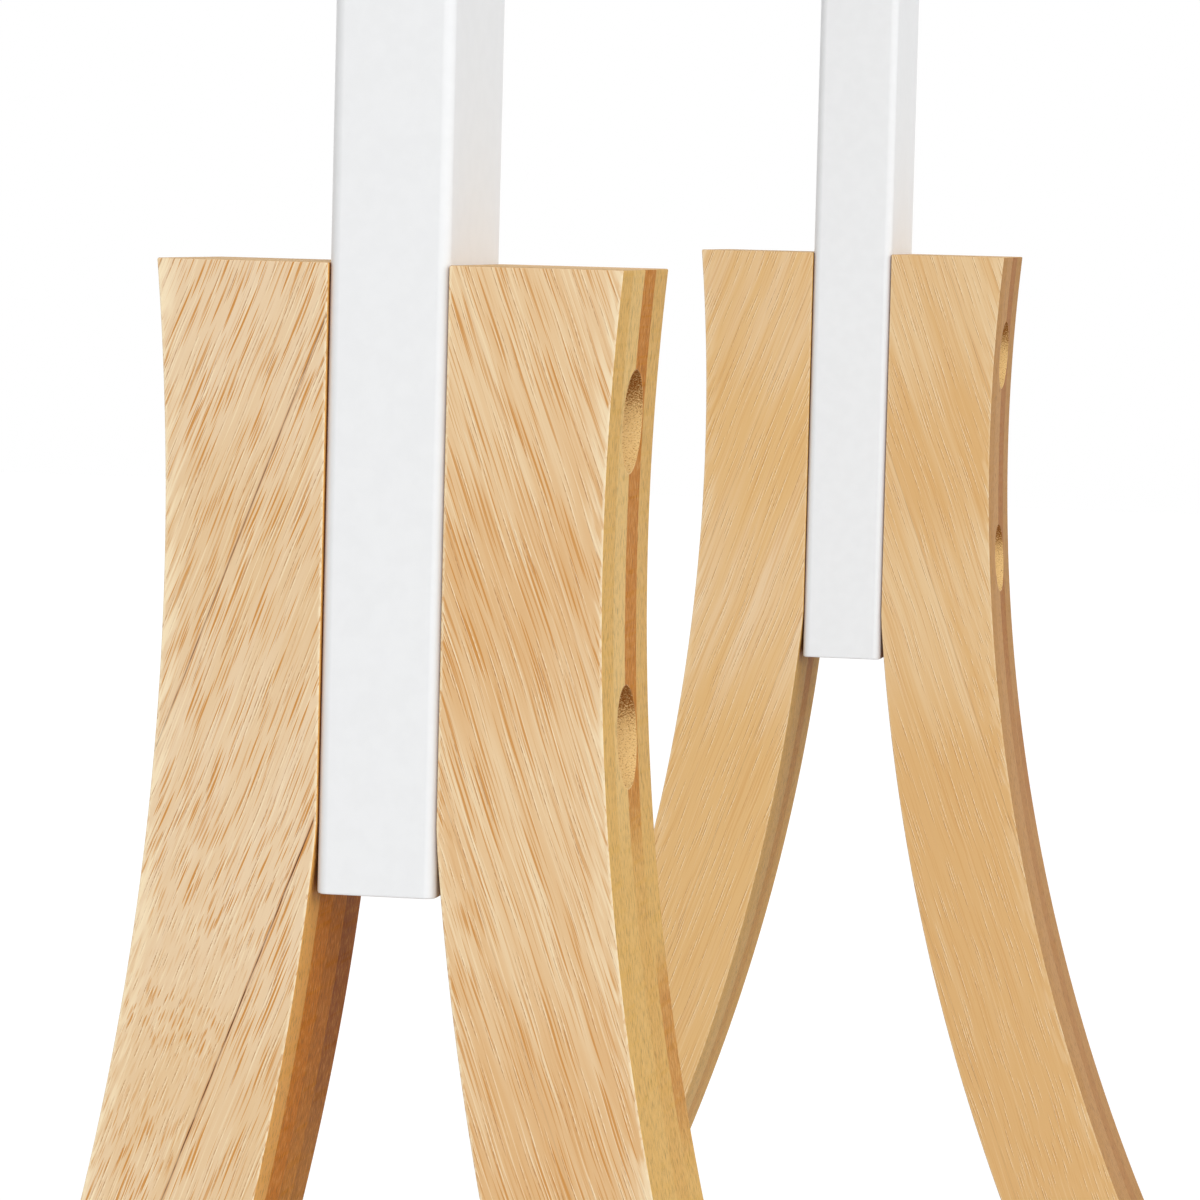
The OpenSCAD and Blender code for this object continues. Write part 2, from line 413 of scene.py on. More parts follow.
def glue_lines(wood, colour, strength):
    from_joint = (0.5 - abs(wood.strips.fraction() - 0.5)) * strip_w
    joints = (1 - abs((wood.strips + 0.5).floor()) * 0.3).at_least(0.3) * strength
    broken = wood.noise(wood.across / 0.5, wood.along / 6, wood.depth / 2).step(0.36, 0.6)
    halo = from_joint.step(0.45, 0.1) * (0.3 + broken * 0.7)
    colour = wood.blend(halo * 0.6 * joints, colour, shade(*tinted_glue))
    joint = from_joint.step(0.15, 0.07) * (0.5 + broken * 0.5) * joints
    return wood.blend(joint, colour, shade(*glue_brown))


def arrises(wood, colour, from_outside, facing, share):
    torn = wood.noise(wood.across / 1.4, wood.along / 14, wood.depth / 2).step(0.46, 0.6)
    scuffed = from_outside.step(4.5, 0.4) * torn * 0.75 * share
    colour = wood.blend(scuffed, colour, shade(*pale_fibre_and_highlight))
    from_inside = (leg_w / mm - from_outside).at_most(abs(wood.y) - tube_w / 2 / mm)
    # Painted highlight along the eased arrises, mixed with the paler sanded wood there.
    sanded_arris_highlight = from_inside.at_most(from_outside).step(0.65, 0.2).at_least(facing.step(0.98, 0.85))
    ragged = wood.noise(wood.y / 0.6, wood.z / 1.6, wood.depth / 0.6).step(0.42, 0.58)
    return wood.blend(sanded_arris_highlight * (0.2 + ragged * 0.65) * share, colour, shade(*pale_fibre_and_highlight))

# %% [markdown]
# Sawn edges show the plies of a slightly cupped board. The hollow outer edge and the round
# inner one cut different strips, so each has tones of its own. They even out lower down, and
# on the hollow edge a brown strip comes out again there. Low down on the round edge, painted
# light brightens the deeper plies.

# %% Plies on the sawn edges
painted_light_on_plies = (236, 170, 70)


def ply_tones(wood, from_outside, plies, evened):
    """Plies are the tones on the hollow and on the round edge. Evened is how far they meet
    lower down, and between which heights."""
    depth, up_z = wood.depth, wood.up_z
    cup = abs(up_z).step(0.0, 50.0) * 1.2
    hollow, inner = [wood.node("ShaderNodeValToRGB", {"stops": [
        (i / len(tones), shade(*one)) for i, one in enumerate(tones)]},
        {"Fac": (depth + ply_rim + cup) / (len(tones) * ply_t)}) for tones in plies]
    # Painted light: the deeper plies of the round edge are lightened low down.
    painted_light_low = up_z.step(-75.0, -125.0) * depth.step(17.0, 22.0) * 0.4
    inner = wood.blend(painted_light_low, inner, shade(*painted_light_on_plies))
    sawn = wood.blend(from_outside.step(8.0, 16.0), hollow, inner)
    share, start, end = evened
    golden, _, brown, _ = plies[0]
    sawn = wood.blend(up_z.step(start, end) * share, sawn, shade(*golden))
    stray = from_outside.step(16.0, 8.0) * depth.step(29.5, 31.0) * up_z.step(-64.0, -76.0)
    return wood.blend(stray * up_z.step(-106.0, -90.0) * 0.7, sawn, shade(*brown))

# %% [markdown]
# The saw also leaves short cut fibres, dark and pale, and the pale ones show less on a dark
# ply. Little light gets in between a leg and its upright, so shade is painted into the wood
# there: on the seat, and in a narrow band below it that ends with the tube.

# %% Saw marks and shadow
seat_shadow = (140, 74, 30)
tube_end = (tube_foot_z - waist_z) / mm


def sawn_edges(wood, from_outside, plies, evened):
    """The edges' colour: the plies' tones, cut fibres on them, and the shadow at the tube."""
    depth, up_z = wood.depth, wood.up_z
    sawn = ply_tones(wood, from_outside, plies, evened)
    fibre = wood.noise(wood.y / 3, wood.z / 1.8, depth / 0.45, detail=3.0, rough=0.6)
    sawn = wood.blend(fibre.step(0.5, 0.66) * 0.35, sawn, shade(*glue_brown))
    red, _, _ = wood.split(sawn)
    palest = max(plies[1], key=sum)
    sawn = wood.blend(fibre.step(0.48, 0.34) * red * 0.75, sawn, shade(*palest))
    # Painted shadow between leg and tube: the seat and a narrow band beside the tube are darkened.
    from_tube = abs(wood.y) - tube_w / 2 / mm
    narrow = from_tube.step(1.8, 0.8) * depth.step(0.5, 3.5)
    lower_end = up_z.step(tube_end - 5, tube_end + 2)
    sawn = wood.blend(narrow * lower_end * 0.85, sawn, shade(*seat_shadow))
    in_seat = from_tube.step(0.5, 0.25) * up_z.step(tube_end - 4, tube_end + 12)
    below_face = depth.at_most(len(plies[0]) * ply_t - depth).step(0.4, 1.0)
    return wood.blend(in_seat * below_face * 0.9, sawn, shade(*seat_shadow))

# %% [markdown]
# The walls of the head recesses show torn fibre ends, with painted shade that darkens them
# towards the top of each recess. A leg's two recesses are one pattern, mirrored about the
# height halfway between them.

# %% Recess walls
bolt_low, bolt_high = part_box("leg_bolts_left")
head_r = (bolt_high.x - bolt_low.x) / 2
bolt_z = bolt_low.z + head_r
bolt_step = bolt_high.z - head_r - bolt_z
recess_r = 8.5 * mm
drilled_pale = (246, 208, 142)
drilled_dark = (162, 100, 42)
print("heads %.1f mm wide, %.0f mm apart" % (head_r * 2 / mm, bolt_step / mm))


def recess_walls(wood, colour, board_x):
    """The colour with drilled walls, where they are, and how torn their fibres are."""
    side_x, _, up = wood.place((board_x + leg_t / 2, 0, bolt_z + bolt_step / 2))
    from_axis = up - up.sign() * (bolt_step / 2 / mm)
    radius = (side_x * side_x + from_axis * from_axis).root()
    drilled = (radius - recess_r / mm).step(0.25, 0.05)
    torn = wood.noise(wood.y / 0.3, wood.z / 0.22, wood.depth / 0.45, detail=3.0, rough=0.7)
    # Painted shade: the walls darken towards the top of each recess.
    painted_shade_at_top = from_axis.step(-1.0, 7.0) * 0.2
    wall = wood.blend((torn + painted_shade_at_top).step(0.5, 0.74), shade(*drilled_pale), shade(*drilled_dark))
    wall = wood.blend(torn.step(0.4, 0.28) * 0.8, wall, shade(*pale_fibre_and_highlight))
    return wood.blend(drilled, colour, wall), drilled, torn

# %% [markdown]
# The last helper puts these layers together. Which of them shows is told by the surface
# itself: how far a point is from the outer arc, and which way its normal faces.

# %% All layers of the bamboo
end_grain = (222, 186, 136)


def laminated_bamboo(name, board_x, lean, strip_start, knot_along, joints, stroke, deepened,
                     evened, faces, plies):
    """Lean is the grain's tilt in degrees, joints the strength of the glue lines, and a
    stroke has a width, a length and a share of colour."""
    wood = Board(name, board_x, lean, strip_start, knot_along)
    colour, tone = ground(wood, faces, deepened)
    colour, pore, speck = pores(wood, colour)
    colour, strength = strokes(wood, colour, *stroke)
    colour = glue_lines(wood, colour, joints)

    out_y = abs(wood.y) - arc_y / mm
    from_outside = (out_y * out_y + wood.up_z * wood.up_z).root() - outer_r / mm
    normal_x, _, normal_z = wood.split(wood.node("ShaderNodeTexCoord", output="Normal"))
    facing = abs(normal_x)
    colour = arrises(wood, colour, from_outside, facing, stroke[2])
    colour = wood.blend(facing.step(0.5, 0.2), colour, sawn_edges(wood, from_outside, plies, evened))
    ends = wood.blend(speck.step(0.45, 0.6) * 0.3, shade(*end_grain), shade(*pore_brown))
    colour = wood.blend(abs(normal_z).step(0.75, 0.9), colour, ends)
    colour, drilled, torn = recess_walls(wood, colour, board_x)

    wood.feed("Base Color", colour)
    wood.feed("Roughness", 0.6 + strength * 0.12 - tone * 0.06)
    flat = 1 - strength * 0.4 - pore * 0.2
    wood.relief(flat + drilled * (torn - flat), 0.02)
    print(name, "has", len(wood.tree.nodes), "nodes")
    return wood.material

# %% [markdown]
# Each of the four legs is sawn from a board of its own. The grain leans to the other side on
# the front legs, and the far frame's boards are plainer than the near one's.

# %% Four boards
golden_plies = [(224, 178, 100), (232, 192, 122), (196, 124, 40), (220, 174, 100)]
dusky_plies = [(190, 140, 82), (196, 148, 94), (172, 114, 60), (186, 138, 80)]
# Russet plies grow darker with depth: partly the wood's own tone, partly painted shade on the back leg's
# round edge.
russet_and_shaded_plies = [(248, 188, 101), (217, 133, 8), (197, 120, 14), (158, 88, 0)]
left_board = end_face_x
right_board = upright_x - leg_t / 2
plain = {"joints": 0.2, "stroke": (0.5, 50.0, 0.3), "deepened": 0.6, "evened": (0.5, -40.0, -85.0)}
boards = {
    "back_left": {
        "board_x": left_board, "lean": 20.8, "strip_start": 108.2, "knot_along": 215.0,
        "joints": 0.9, "stroke": (0.4, 18.0, 0.95), "deepened": 0.0, "evened": (0.0, -40.0, -85.0),
        "faces": ((237, 211, 176), (230, 197, 153)), "plies": (golden_plies, russet_and_shaded_plies)},
    "front_left": {
        "board_x": left_board, "lean": -19.6, "strip_start": -105.0, "knot_along": 261.0,
        "joints": 0.12, "stroke": (0.44, 30.0, 0.85), "deepened": 0.0, "evened": (0.85, -34.0, -56.0),
        "faces": ((241, 215, 175), (226, 183, 131)), "plies": (golden_plies, golden_plies)},
    "back_right": {
        "board_x": right_board, "lean": 20.0, "strip_start": 104.0, "knot_along": 150.0, **plain,
        "faces": ((238, 209, 170), (229, 187, 128)), "plies": (golden_plies, golden_plies)},
    "front_right": {
        "board_x": right_board, "lean": -20.0, "strip_start": -119.0, "knot_along": 90.0, **plain,
        "faces": ((236, 205, 160), (225, 181, 123)), "plies": (dusky_plies, dusky_plies)},
}
bamboo = {"leg_" + key: laminated_bamboo("bamboo_" + key, **board) for key, board in boards.items()}

# %% [markdown]
# ## Zinc, plastic and rubber
#
# The small parts need less, but none of them is one flat colour: zinc plate is brushed and
# blotched by its bath, moulded plastic has a fine spark-eroded grain, and rubber is dusty.

# %% Zinc, plastic and rubber
def fine_finish(name, values, dark, light, rough, spread, grain_size, depth):
    finish = Finish(name, values)
    x, y, z = finish.place()
    cloud = finish.noise(x / 4, y / 4, z / 4)
    grain = finish.noise(x / grain_size, y / grain_size, z / grain_size)
    mixed = (cloud * 0.6 + grain * 0.4).step(0.35, 0.65)
    finish.feed("Base Color", finish.blend(mixed, shade(*dark), shade(*light)))
    finish.feed("Roughness", rough + (cloud - 0.5) * spread)
    finish.relief(grain, depth)
    return finish.material


zinc = fine_finish("zinc_plated_steel", {"Metallic": 1.0}, (168, 172, 178), (206, 208, 210),
                   rough=0.3, spread=0.3, grain_size=0.25, depth=0.01)
plastic = fine_finish("white_plastic", {}, (230, 230, 228), (236, 236, 234),
                      rough=0.45, spread=0.15, grain_size=0.3, depth=0.01)
rubber = fine_finish("black_rubber", {}, (34, 34, 35), (48, 48, 50),
                     rough=0.75, spread=0.2, grain_size=0.4, depth=0.05)
print("made", zinc.name, plastic.name, rubber.name)

# %% [markdown]
# ## From a recipe to a piece
#
# A Geometry Nodes tree is a recipe: it is built once, and each piece runs it with sizes of
# its own as named inputs. Each recipe ends with real geometry that has its material.

# %% Recipes
class Recipe(Graph):
    """A Geometry Nodes tree whose sizes are named inputs of its modifier."""

    KINDS = {float: "NodeSocketFloat", int: "NodeSocketInt", tuple: "NodeSocketVector"}

    def __init__(self, name, **inputs):
        super().__init__(bpy.data.node_groups.new(name, "GeometryNodeTree"))
        sockets = self.tree.interface
        sockets.new_socket("Mesh", in_out="INPUT", socket_type="NodeSocketGeometry")
        sockets.new_socket("Mesh", in_out="OUTPUT", socket_type="NodeSocketGeometry")
        self.keys = {}
        for key, value in inputs.items():
            made = sockets.new_socket(key, in_out="INPUT", socket_type=self.KINDS[type(value)])
            made.default_value = value
            self.keys[key] = made.identifier
        made = sockets.new_socket("finish", in_out="INPUT", socket_type="NodeSocketMaterial")
        self.keys["finish"] = made.identifier
        self.entry = self.tree.nodes.new("NodeGroupInput")

    def __getitem__(self, key):
        """One of the sizes, or under the key Mesh what the steps before this one have made."""
        return Wire(self, self.entry.outputs[key])

    def cylinder(self, radius, length, place, turn=(0.0, 0.0, 0.0), count=1, spacing=0.0, corners=64):
        """Solid cylinders, centred on place and repeated upwards."""
        one = self.node("GeometryNodeMeshCylinder", None, {
            "Vertices": corners, "Radius": radius, "Depth": length})
        row = self.node("GeometryNodeMeshLine", {"mode": "OFFSET"}, {
            "Count": count, "Start Location": place, "Offset": self.vector(0, 0, spacing)})
        return self.node("GeometryNodeInstanceOnPoints", None, {
            "Points": row, "Instance": one, "Rotation": turn})

    def difference(self, body, cutters):
        return self.node("GeometryNodeMeshBoolean", {"operation": "DIFFERENCE", "solver": "EXACT"},
                         {"Mesh 1": body, "Mesh 2": cutters})

    def close(self, geometry):
        """The end of every recipe: real geometry with its material."""
        solid = self.node("GeometryNodeRealizeInstances", None, {0: geometry})
        dressed = self.node("GeometryNodeSetMaterial", None, {
            "Geometry": solid, "Material": self["finish"]})
        last = self.tree.nodes.new("NodeGroupOutput")
        self.tree.links.new(dressed.socket, last.inputs[0])
        print(self.tree.name, "has", len(self.tree.nodes), "nodes")

# %% [markdown]
# A piece is made on a bench: recipes and ordinary modifiers are stacked on an empty mesh, and
# the evaluated result is taken as a plain mesh. Shading is smooth, with sharp edges by angle
# and normals weighted by face area, so that a broad flat face stays flat beside a small
# rounded edge. Last, the piece goes under the stand's root, and the frame's nodes that it
# stands for are hidden.

# %% Running a recipe
def run(name, steps, finish, blank=None):
    """Runs recipes and modifiers on an empty mesh, or on a blank, and returns a plain object."""
    bench = add(name + "_bench", blank or bpy.data.meshes.new(name + "_bench"))
    for kind, values in steps:
        if isinstance(kind, Recipe):
            modifier = bench.modifiers.new(kind.tree.name, "NODES")
            modifier.node_group = kind.tree
            for key, value in {**values, "finish": finish}.items():
                modifier[kind.keys[key]] = value
        else:
            modifier = bench.modifiers.new(kind, kind)
            for key, value in values.items():
                setattr(modifier, key, value)
    evaluated = bench.evaluated_get(bpy.context.evaluated_depsgraph_get())
    mesh = bpy.data.meshes.new_from_object(evaluated)
    bpy.data.objects.remove(bench)
    mesh.name = name
    return add(name, mesh)


def rounding(width, segments, angle=40):
    """Settings for a Bevel modifier that rounds the edges sharper than an angle."""
    return {"width": width, "segments": segments, "limit_method": "ANGLE",
            "angle_limit": math.radians(angle)}

# %% Fitting a piece
crease = math.radians(35)


def fit(piece, slot, *nodes):
    """Shades a finished piece and puts it in the place of the nodes that it stands for."""
    mesh = piece.data
    mesh.shade_smooth()
    mesh.set_sharp_from_angle(angle=crease)
    weighted = piece.modifiers.new("flat_faces_stay_flat", "WEIGHTED_NORMAL")
    weighted.keep_sharp = True
    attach(piece, "root")
    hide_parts(*nodes)
    corners = [Vector(corner) for corner in piece.bound_box]
    size = [(max(c[i] for c in corners) - min(c[i] for c in corners)) / mm for i in range(3)]
    print("%-22s %6d faces  %5.1f x %5.1f x %5.1f mm" % (piece.name, len(mesh.polygons), *size))

# %% [markdown]
# ## The legs
#
# A leg is a band between two arcs about one centre, flat where it sits on the upright. The
# real one is sawn from the board, its edges are eased with a small round cutter, and then
# the holes are drilled. The recipe follows that order: a grid block is bent to the rule of
# the two arcs, a Bevel modifier eases every edge, and a second recipe drills, which leaves
# the rims of the recesses crisp, as they are in the photograph.

# %% Leg recipe
leg = Recipe("leg_board", side=1.0, facing=1.0, upright_x=0.2, thickness=0.03,
             seat_y=0.01, arc_y=0.5, inner_r=0.5, outer_r=0.5, waist_z=0.3,
             toe_y=0.15, toe_z=0.01, foot_z=0.0, top_z=0.4, rows=100)
block = leg.node("GeometryNodeMeshCube", None, {
    "Size": (1.0, 1.0, 1.0), "Vertices X": 2, "Vertices Y": 2, "Vertices Z": leg["rows"]})
part_x, part_y, part_z = leg.split(leg.node("GeometryNodeInputPosition"))

# Rows are even from the toe's corner up, and the lowest one is at the sole
row = (part_z + 0.5) * (leg["rows"] - 1)
rise = (leg["top_z"] - leg["toe_z"]) / (leg["rows"] - 2)
height = (leg["toe_z"] + (row - 1) * rise).at_least(leg["foot_z"])
below_waist = leg["waist_z"] - height
inner_drop = below_waist.at_least(0.0)
inner_arc = (leg["inner_r"] * leg["inner_r"] - inner_drop * inner_drop).root()
outer_arc = (leg["outer_r"] * leg["outer_r"] - below_waist * below_waist).root()
inner_y = (leg["arc_y"] - inner_arc).at_least(leg["seat_y"])
outer_y = (leg["arc_y"] - outer_arc).at_most(leg["toe_y"])
share = part_y * leg["facing"] + 0.5
bent = leg.vector(
    leg["side"] * leg["upright_x"] + part_x * leg["thickness"],
    (inner_y + (outer_y - inner_y) * share) * leg["facing"],
    height)
leg.close(leg.node("GeometryNodeSetPosition", None, {"Geometry": block, "Position": bent}))

# %% Drilling recipe
lengthwise = (math.pi / 2, 0.0, 0.0)
sideways = (0.0, math.pi / 2, 0.0)

drill = Recipe("leg_drill", x=0.0, y_recess=0.05, y_hole=0.0, recess_r=0.008, hole_r=0.003,
               reach=0.03, first_z=0.3, spacing=0.05, screw_y=0.1, screw_r=0.002,
               screw_z=0.0, screw_len=0.02)
recesses = drill.cylinder(
    drill["recess_r"], drill["reach"],
    drill.vector(drill["x"], drill["y_recess"], drill["first_z"]),
    lengthwise, count=2, spacing=drill["spacing"])
holes = drill.cylinder(
    drill["hole_r"], drill["reach"] * 3,
    drill.vector(drill["x"], drill["y_hole"], drill["first_z"]),
    lengthwise, count=2, spacing=drill["spacing"], corners=32)
screw_hole = drill.cylinder(
    drill["screw_r"], drill["screw_len"],
    drill.vector(drill["x"], drill["screw_y"], drill["screw_z"]), corners=24)
drill.close(drill.difference(drill["Mesh"], [recesses, holes, screw_hole]))

# %% [markdown]
# The holes are placed from the fasteners' boxes: the bolts' heads tell how far apart they
# are, and the floor of a recess is where a head bears on the wood.

# %% The four legs
eased_edge = {**rounding(0.3 * mm, 2, angle=30), "use_clamp_overlap": False}
recess_depth = 10 * mm
bolt_hole_r = 3.25 * mm
sleeve_hole_r = 4.5 * mm
pad_screw_hole_r = 1.8 * mm
seat_y = arc_y - outer_r - recess_depth
toe_z = waist_z - math.sqrt(outer_r ** 2 - (arc_y - toe_y) ** 2)
pattern = {"upright_x": upright_x, "thickness": leg_t, "seat_y": tube_w / 2, "arc_y": arc_y,
           "inner_r": inner_r, "outer_r": outer_r, "waist_z": waist_z, "toe_y": toe_y,
           "toe_z": toe_z, "foot_z": leg_foot_z, "top_z": leg_top_z, "rows": 101}

for side, side_sign in SIDES.items():
    for facing, facing_sign in FACINGS.items():
        node = "leg_%s_%s" % (facing, side)
        screw_low, screw_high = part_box(node.replace("leg", "pad_screw"))
        board = {**pattern, "side": float(side_sign), "facing": float(facing_sign)}
        holes = {"x": side_sign * upright_x, "y_recess": facing_sign * (seat_y + leg_w / 2),
                 "y_hole": facing_sign * leg_w, "recess_r": recess_r, "reach": leg_w,
                 "hole_r": sleeve_hole_r if facing == "back" else bolt_hole_r,
                 "first_z": bolt_z, "spacing": bolt_step,
                 "screw_y": (screw_low.y + screw_high.y) / 2, "screw_z": screw_high.z / 2,
                 "screw_len": screw_high.z + 2 * mm, "screw_r": pad_screw_hole_r}
        piece = run("bamboo_" + node, [(leg, board), ("BEVEL", eased_edge), (drill, holes)],
                    bamboo[node])
        fit(piece, "laminated_bamboo", node)

# %% [markdown]
# ## The uprights
#
# The upright is a rectangular steel tube with rounded corners. A rounded rectangle swept
# along a straight line gives the outside, the cut ends are broken with a small bevel, and
# the second recipe takes out the bore and the bolt holes.

# %% Tube recipes
def rounded_section(recipe, width, depth, radius):
    corners = recipe.node("GeometryNodeCurvePrimitiveQuadrilateral", None, {
        "Width": width, "Height": depth})
    return recipe.node("GeometryNodeFilletCurve", {"mode": "POLY"}, {
        "Curve": corners, "Count": 8, "Radius": radius, "Limit Radius": True})


def swept(recipe, section, start, end):
    path = recipe.node("GeometryNodeCurvePrimitiveLine", None, {"Start": start, "End": end})
    return recipe.node("GeometryNodeCurveToMesh", None, {
        "Curve": path, "Profile Curve": section, "Fill Caps": True})


def swept_up(recipe, section, low="low_z", high="high_z"):
    """A section swept up an upright's axis between two of the recipe's heights."""
    ends = [recipe.vector(recipe["x"], 0, recipe[key]) for key in (low, high)]
    return swept(recipe, section, *ends)


bar = Recipe("rounded_bar", width=0.03, depth=0.02, radius=0.002, x=0.0, low_z=0.0, high_z=1.0)
bar_section = rounded_section(bar, bar["width"], bar["depth"], bar["radius"])
bar.close(swept_up(bar, bar_section))

bore = Recipe("tube_bore", width=0.03, depth=0.02, radius=0.001, x=0.0, low_z=0.0, high_z=1.0,
              hole_r=0.003, reach=0.1, leg_bolt_z=0.3, leg_bolt_step=0.05, rail_z=0.5, rail_step=0.15)
hollow = swept_up(bore, rounded_section(bore, bore["width"], bore["depth"], bore["radius"]))
leg_holes = bore.cylinder(bore["hole_r"], bore["reach"],
                          bore.vector(bore["x"], 0, bore["leg_bolt_z"]),
                          lengthwise, count=2, spacing=bore["leg_bolt_step"], corners=32)
rail_holes = bore.cylinder(bore["hole_r"], bore["reach"],
                           bore.vector(bore["x"], 0, bore["rail_z"]),
                           sideways, count=3, spacing=bore["rail_step"], corners=32)
bore.close(bore.difference(bore["Mesh"], [hollow, leg_holes, rail_holes]))

# %% The two uprights
tube_wall = 1.2 * mm
tube_corner_r = 2 * mm
broken_rim = rounding(0.4 * mm, 2)
overshoot = 1 * mm
rails = ("rail_bottom", "rail_middle", "rail_top")
rail_zs = [sum(corner.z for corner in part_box(rail)) / 2 for rail in rails]

for side, side_sign in SIDES.items():
    outside = {"width": tube_d, "depth": tube_w, "radius": tube_corner_r,
               "x": side_sign * upright_x, "low_z": tube_foot_z, "high_z": tube_top_z}
    inside = {"width": tube_d - 2 * tube_wall, "depth": tube_w - 2 * tube_wall,
              "radius": tube_corner_r - tube_wall, "x": side_sign * upright_x,
              "low_z": tube_foot_z - overshoot, "high_z": tube_top_z + overshoot,
              "hole_r": bolt_hole_r, "reach": 2 * tube_d, "leg_bolt_z": bolt_z,
              "leg_bolt_step": bolt_step, "rail_z": rail_zs[0], "rail_step": rail_zs[1] - rail_zs[0]}
    piece = run("steel_upright_" + side, [(bar, outside), ("BEVEL", broken_rim), (bore, inside)],
                powder_coat)
    fit(piece, "powder_coated_steel", "upright_" + side)

# %% [markdown]
# ## The rails
#
# A towel rail is a round steel tube between the uprights, painted in the same white. The
# photograph ends below the rails, so they follow what such a stand has: three of them, one
# above the other. A circle swept along a line makes the tube, and a second sweep its bore.

# %% Rail recipe and the three rails
rail_wall = 1 * mm
round_tube = Recipe("round_tube", radius=0.008, wall=0.001, half_length=0.18, z=0.5)


def round_bar(recipe, radius, half_length):
    section = recipe.node("GeometryNodeCurvePrimitiveCircle", None, {"Resolution": 96, "Radius": radius})
    return swept(recipe, section, recipe.vector(0 - half_length, 0, recipe["z"]),
                 recipe.vector(half_length, 0, recipe["z"]))


tube_outside = round_bar(round_tube, round_tube["radius"], round_tube["half_length"])
tube_inside = round_bar(round_tube, round_tube["radius"] - round_tube["wall"],
                        round_tube["half_length"] + overshoot)
round_tube.close(round_tube.difference(tube_outside, [tube_inside]))

for rail, rail_z in zip(rails, rail_zs):
    low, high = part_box(rail)
    sizes = {"radius": (high.z - low.z) / 2, "wall": rail_wall, "half_length": high.x, "z": rail_z}
    fit(run("steel_" + rail, [(round_tube, sizes)], powder_coat), "powder_coated_steel", rail)

# %% [markdown]
# ## Turning
#
# Bolts, sleeve nuts, screws and foot pads are turned parts: one outline, spun about an axis.
# A bolt's outline starts at the crown of its head, rounds the rim and runs down the shank.
# Spinning leaves a double seam and doubled poles, so these are merged before the normals are
# set to point outwards.

# %% Turning helpers
def turned(name, outline, place=(0, 0, 0), closed=False, steps=48):
    """Spins points (radius, height) about Z and moves the result to its place."""
    shape = bmesh.new()
    points = [shape.verts.new((radius, 0, height)) for radius, height in outline]
    ends = points[1:] + points[:1] if closed else points[1:]
    edges = [shape.edges.new(pair) for pair in zip(points, ends)]
    bmesh.ops.spin(shape, geom=points + edges, axis=(0, 0, 1), cent=(0, 0, 0),
                   angle=2 * math.pi, steps=steps)
    bmesh.ops.remove_doubles(shape, verts=shape.verts, dist=0.001 * mm)
    bmesh.ops.recalc_face_normals(shape, faces=shape.faces)
    bmesh.ops.translate(shape, verts=shape.verts, vec=place)
    mesh = bpy.data.meshes.new(name)
    shape.to_mesh(mesh)
    shape.free()
    return mesh


def quarter_turn(parts):
    """Even angles from nothing to a right angle."""
    return [i / parts * math.pi / 2 for i in range(parts + 1)]


def crowned_head(radius, height, crown_w, crown_h):
    """Outline of a head below zero, from its flat top round a quarter of an ellipse."""
    rim = [(radius - crown_w + crown_w * math.sin(turn), crown_h * (1 - math.cos(turn)) - height)
           for turn in quarter_turn(8)]
    return [(0, -height), *rim, (radius, 0)]


def shank(radius, length, tip):
    return [(radius, 0), (radius, length - tip), (radius - tip, length), (0, length)]

# %% [markdown]
# ## Bolts and sleeve nuts
#
# Two bolts clamp the legs of an upright: flat heads in the front leg's recesses, and sleeve
# nuts from the back. Three dome-headed bolts hold the rails. They stand in rows, so one is
# turned, and a recipe presses a hexagon socket into its head and repeats it along a line.

# %% Row recipe
fasteners = Recipe("fastener_row", start=(0.0, 0.0, 0.0), turn=(0.0, 0.0, 0.0), count=2,
                   spacing=0.05, head_h=0.003, socket_r=0.002, socket_depth=0.002, socket_corners=6)
punch = fasteners.node("GeometryNodeMeshCylinder", None, {
    "Vertices": fasteners["socket_corners"], "Radius": fasteners["socket_r"],
    "Depth": fasteners["socket_depth"] * 2})
punch_on_head = fasteners.node("GeometryNodeTransform", None, {
    "Geometry": punch, "Translation": fasteners.vector(0, 0, 0 - fasteners["head_h"])})
one_fastener = fasteners.difference(fasteners["Mesh"], [punch_on_head])
row_points = fasteners.node("GeometryNodeMeshLine", {"mode": "OFFSET"}, {
    "Count": fasteners["count"], "Start Location": fasteners["start"],
    "Offset": fasteners.vector(0, 0, fasteners["spacing"])})
fasteners.close(fasteners.node("GeometryNodeInstanceOnPoints", None, {
    "Points": row_points, "Instance": one_fastener, "Rotation": fasteners["turn"]}))

# %% Outlines of bolts and nuts
key_across_flats = 4 * mm
socket_r = key_across_flats / 2 / math.cos(math.pi / 6)
socket_depth = 1.8 * mm
leg_head_h = 3 * mm
rail_head_h = 3 * mm
shank_r = 3 * mm
sleeve_r = 4.25 * mm
bolt_tip = 0.6 * mm

nut_low, nut_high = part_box("sleeve_nuts_left")
rail_bolt_low, rail_bolt_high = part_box("rail_bolts_left")
rail_head_r = (rail_bolt_high.y - rail_bolt_low.y) / 2
sleeve_len = nut_high.y - leg_head_h - nut_low.y
thread_r = shank_r + 0.05 * mm

flat_head = crowned_head(head_r, leg_head_h, crown_w=1.2 * mm, crown_h=0.9 * mm)
dome_head = crowned_head(rail_head_r, rail_head_h, crown_w=3 * mm, crown_h=2.1 * mm)
leg_bolt_outline = flat_head + shank(shank_r, bolt_high.y - bolt_low.y - leg_head_h, bolt_tip)
nut_outline = flat_head + [
    (sleeve_r, 0), (sleeve_r, sleeve_len), (thread_r, sleeve_len), (thread_r, 0), (0, 0)]
rail_bolt_outline = dome_head + shank(
    shank_r, rail_bolt_high.x - rail_bolt_low.x - rail_head_h, bolt_tip)
print("sleeves %.1f mm long, rail bolts' heads %.1f mm wide" % (sleeve_len / mm, rail_head_r * 2 / mm))

